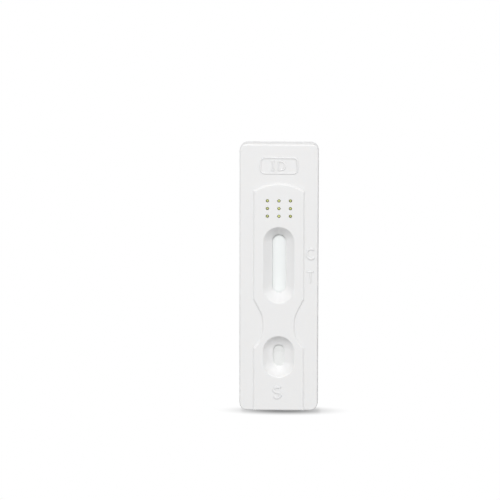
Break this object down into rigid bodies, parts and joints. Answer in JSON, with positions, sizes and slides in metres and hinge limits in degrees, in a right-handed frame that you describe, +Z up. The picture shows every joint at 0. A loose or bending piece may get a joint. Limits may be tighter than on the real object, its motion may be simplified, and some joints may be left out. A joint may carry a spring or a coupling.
{
  "type": "lateral flow test cassette",
  "caption": "White moulded test cassette with a sloped result window, a sample well and vent holes over a paper test strip.",
  "frame": {"origin": "on the surface that the case lies on, under the middle of the case", "axes": "+Z up out of the result window, +Y from the sample well to the vent holes, +X to the side with the zone marks"},
  "size_m": [0.0204, 0.07, 0.0053],
  "materials": {
    "shell_plastic": "white moulded polystyrene, satin",
    "card_plastic": "white polyester card",
    "membrane_film": "matt white cellulose membrane",
    "pad_fibre": "white pressed fibre",
    "absorbent_paper": "thick white blotting paper",
    "tape_film": "olive green film tape"
  },
  "bodies": {
    "root": {"top_shell": "shell_plastic", "bottom_shell": "shell_plastic", "backing_card": "card_plastic", "membrane": "membrane_film", "conjugate_pad": "pad_fibre", "sample_pad": "pad_fibre", "absorbent_pad": "absorbent_paper", "retaining_tape": "tape_film"}
  },
  "joints": []
}
